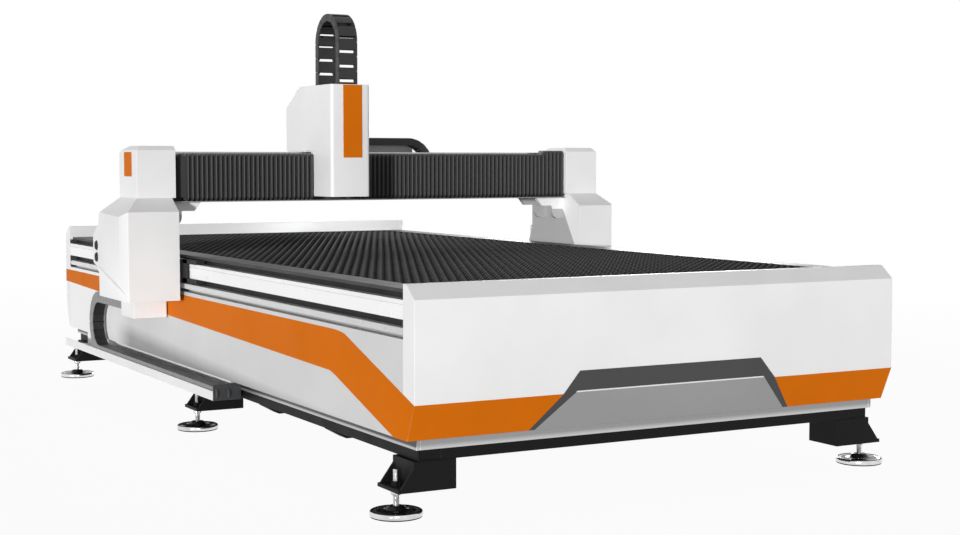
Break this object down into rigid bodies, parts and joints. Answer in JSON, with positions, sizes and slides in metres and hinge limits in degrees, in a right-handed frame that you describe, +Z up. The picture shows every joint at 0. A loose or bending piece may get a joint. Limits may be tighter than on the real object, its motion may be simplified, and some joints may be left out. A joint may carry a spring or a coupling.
{
  "type": "cnc plasma table",
  "caption": "Plasma cutting table with a slatted bed, a gantry running on side rails, a bellows-covered beam with a lifting torch head, link chains and levelling feet",
  "frame": {"origin": "on the floor under the middle of the table", "axes": "+X to the right seen from the front end, +Y from the front end to the rear, +Z up"},
  "size_m": [2.396, 4.054, 1.7426],
  "materials": {
    "white_paint": "satin powder coat",
    "orange_paint": "satin powder coat",
    "black_paint": "matt black paint",
    "dark_grey_paint": "matt dark grey paint",
    "grey_paint": "satin grey paint",
    "steel": "ground steel",
    "slat_steel": "mill scale",
    "chrome": "bright chrome",
    "bellows_cloth": "coated folded cloth",
    "chain_plastic": "moulded nylon",
    "rubber": "matt"
  },
  "bodies": {
    "table": {"base_frame": "black_paint", "foot_brackets": "black_paint", "bed_frame": "black_paint", "slag_tray": "dark_grey_paint", "skirt_lip": "steel", "front_panel": "white_paint", "rear_panel": "white_paint", "side_panels": "white_paint", "side_stripes": "orange_paint", "end_trim": "orange_paint", "inset_frame": "dark_grey_paint", "inset_panel": "grey_paint", "guide_rails": "white_paint", "drive_racks": "steel", "bed_edges": "black_paint", "slats": "slat_steel", "cable_tray": "white_paint", "long_chain_low": "chain_plastic"},
    "gantry": {"long_chain_top": "chain_plastic", "chain_hanger": "white_paint", "gantry_beam": "dark_grey_paint", "beam_ledge": "grey_paint", "beam_guides": "steel", "bellows_left": "bellows_cloth", "bellows_right": "bellows_cloth", "leg_cover_right": "white_paint", "leg_cover_left": "white_paint", "leg_grommets": "rubber", "leg_frames": "grey_paint", "slider_blocks": "black_paint", "drive_motors": "dark_grey_paint", "end_covers": "white_paint", "end_badges": "orange_paint", "beam_chain_tray": "white_paint", "beam_chain_low": "chain_plastic"},
    "carriage": {"beam_chain_top": "chain_plastic", "saddle": "dark_grey_paint", "cross_motor": "black_paint", "head_cover": "white_paint", "head_badge": "orange_paint", "lift_guide": "grey_paint", "lift_motor": "black_paint", "head_chain_rear": "chain_plastic"},
    "lift": {"lift_plate": "grey_paint", "torch_clamp": "black_paint", "torch": "steel", "head_chain_front": "chain_plastic"},
    "long_bend": {"long_chain_bend": "chain_plastic"},
    "beam_bend": {"beam_chain_bend": "chain_plastic"},
    "head_bend": {"head_chain_bend": "chain_plastic"},
    "pinion_left": {"pinion_left": "steel"},
    "pinion_right": {"pinion_right": "steel"},
    "cross_pinion": {"cross_pinion": "steel"},
    "lift_screw": {"lift_screw": "steel"},
    "foot_front_left": {"foot_front_left": "chrome"},
    "foot_front_right": {"foot_front_right": "chrome"},
    "foot_middle_left": {"foot_middle_left": "chrome"},
    "foot_middle_right": {"foot_middle_right": "chrome"},
    "foot_rear_left": {"foot_rear_left": "chrome"},
    "foot_rear_right": {"foot_rear_right": "chrome"}
  },
  "joints": [
    {"name": "gantry_travel", "type": "slide", "parent": "table", "child": "gantry", "axis": [0, 1, 0], "range_m": [-1.65, 1.25], "deforming": ["long_chain_low", "long_chain_top"]},
    {"name": "carriage_travel", "type": "slide", "parent": "gantry", "child": "carriage", "axis": [1, 0, 0], "range_m": [-0.53, 0.97], "deforming": ["bellows_left", "bellows_right", "beam_chain_low", "beam_chain_top"]},
    {"name": "torch_lift", "type": "slide", "parent": "carriage", "child": "lift", "axis": [0, 0, -1], "range_m": [0, 0.2], "deforming": ["head_chain_front", "head_chain_rear"]},
    {"name": "long_chain_roll", "type": "slide", "parent": "table", "child": "long_bend", "axis": [0, 1, 0], "range_m": [-0.84, 0.64]},
    {"name": "beam_chain_roll", "type": "slide", "parent": "gantry", "child": "beam_bend", "axis": [1, 0, 0], "range_m": [-0.28, 0.5]},
    {"name": "head_chain_roll", "type": "slide", "parent": "carriage", "child": "head_bend", "axis": [0, 0, -1], "range_m": [-0.005, 0.105]},
    {"name": "pinion_left_turn", "type": "hinge", "parent": "gantry", "child": "pinion_left", "pos_m": [-1.018, 0.3375, 0.583], "axis": [0, 0, 1], "range_deg": [-1400, 1400]},
    {"name": "pinion_right_turn", "type": "hinge", "parent": "gantry", "child": "pinion_right", "pos_m": [1.018, 0.3375, 0.583], "axis": [0, 0, 1], "range_deg": [-1400, 1400]},
    {"name": "cross_pinion_turn", "type": "hinge", "parent": "carriage", "child": "cross_pinion", "pos_m": [-0.237, 0.357, 1.136], "axis": [0, 0, 1], "range_deg": [-1800, 1800]},
    {"name": "lift_screw_turn", "type": "hinge", "parent": "carriage", "child": "lift_screw", "pos_m": [-0.237, 0.137, 1.1], "axis": [0, 0, 1], "range_deg": [-3700, 3700]},
    {"name": "foot_front_left_height", "type": "slide", "parent": "table", "child": "foot_front_left", "axis": [0, 0, -1], "range_m": [0, 0.02]},
    {"name": "foot_front_right_height", "type": "slide", "parent": "table", "child": "foot_front_right", "axis": [0, 0, -1], "range_m": [0, 0.02]},
    {"name": "foot_middle_left_height", "type": "slide", "parent": "table", "child": "foot_middle_left", "axis": [0, 0, -1], "range_m": [0, 0.02]},
    {"name": "foot_middle_right_height", "type": "slide", "parent": "table", "child": "foot_middle_right", "axis": [0, 0, -1], "range_m": [0, 0.02]},
    {"name": "foot_rear_left_height", "type": "slide", "parent": "table", "child": "foot_rear_left", "axis": [0, 0, -1], "range_m": [0, 0.02]},
    {"name": "foot_rear_right_height", "type": "slide", "parent": "table", "child": "foot_rear_right", "axis": [0, 0, -1], "range_m": [0, 0.02]}
  ],
  "couplings": [
    {"joint": "long_chain_roll", "follows": "gantry_travel", "ratio": 0.5},
    {"joint": "beam_chain_roll", "follows": "carriage_travel", "ratio": 0.5},
    {"joint": "head_chain_roll", "follows": "torch_lift", "ratio": 0.5},
    {"joint": "pinion_left_turn", "follows": "gantry_travel", "rad_per_m": -13.889},
    {"joint": "pinion_right_turn", "follows": "gantry_travel", "rad_per_m": 13.889},
    {"joint": "cross_pinion_turn", "follows": "carriage_travel", "rad_per_m": -31.25},
    {"joint": "lift_screw_turn", "follows": "torch_lift", "rad_per_m": 314.16}
  ]
}
